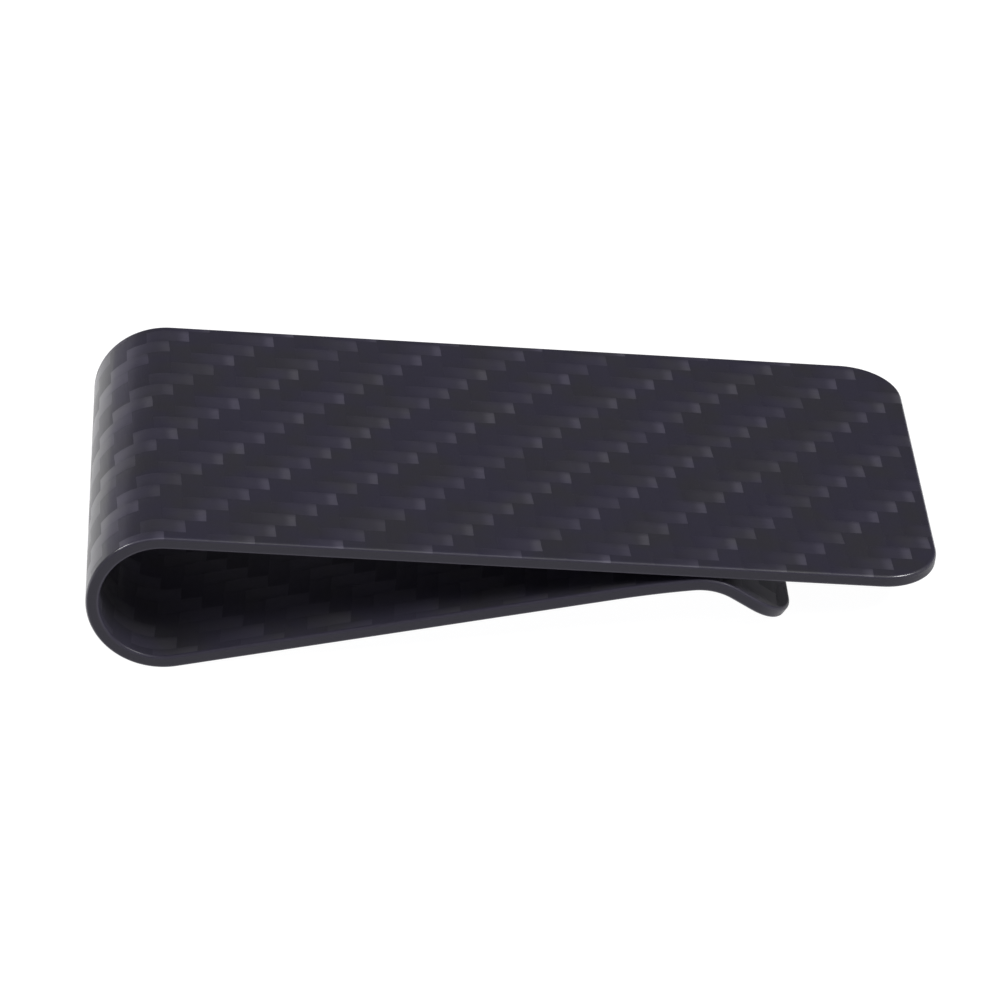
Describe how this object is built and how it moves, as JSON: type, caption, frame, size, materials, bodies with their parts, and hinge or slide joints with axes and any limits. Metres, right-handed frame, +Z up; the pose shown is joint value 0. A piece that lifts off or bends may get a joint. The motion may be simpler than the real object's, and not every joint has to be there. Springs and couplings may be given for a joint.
{
  "type": "money clip",
  "caption": "Flat money clip moulded in carbon-fibre laminate: a plate, a round spring bend and a leg that grips at a crest and ends in a flared lip.",
  "frame": {"origin": "on the surface that the clip rests on, under the middle of the clip", "axes": "+X from the bend to the plate's free end, +Y across the width, +Z up; the plate slopes down towards +X because the clip rests on its bend and its lip"},
  "size_m": [0.0772, 0.038, 0.0139],
  "materials": {
    "outer_twill": "woven carbon fibre, 2x2 twill, under a matt clear coat",
    "inner_twill": "woven carbon fibre, 2x2 twill, matt from the mould",
    "core_laminate": "straight carbon-fibre tape in epoxy, its cut edge rubbed smooth"
  },
  "bodies": {
    "leg": {"leg_outer_twill_ply": "outer_twill", "leg_core_ply_1": "core_laminate", "leg_core_ply_2": "core_laminate", "leg_core_ply_3": "core_laminate", "leg_core_ply_4": "core_laminate", "leg_core_ply_5": "core_laminate", "leg_inner_twill_ply": "inner_twill", "bend_outer_twill_ply": "outer_twill", "bend_core_ply_1": "core_laminate", "bend_core_ply_2": "core_laminate", "bend_core_ply_3": "core_laminate", "bend_core_ply_4": "core_laminate", "bend_core_ply_5": "core_laminate", "bend_inner_twill_ply": "inner_twill"},
    "plate": {"plate_outer_twill_ply": "outer_twill", "plate_core_ply_1": "core_laminate", "plate_core_ply_2": "core_laminate", "plate_core_ply_3": "core_laminate", "plate_core_ply_4": "core_laminate", "plate_core_ply_5": "core_laminate", "plate_inner_twill_ply": "inner_twill"}
  },
  "joints": [
    {"name": "clip_open", "type": "hinge", "parent": "leg", "child": "plate", "pos_m": [-0.03166, 0, 0.00695], "axis": [0, -1, 0], "range_deg": [0, 8], "stiffness_Nm_per_rad": 5, "springref_deg": -1.15, "deforming": ["bend_outer_twill_ply", "bend_core_ply_1", "bend_core_ply_2", "bend_core_ply_3", "bend_core_ply_4", "bend_core_ply_5", "bend_inner_twill_ply"]}
  ]
}
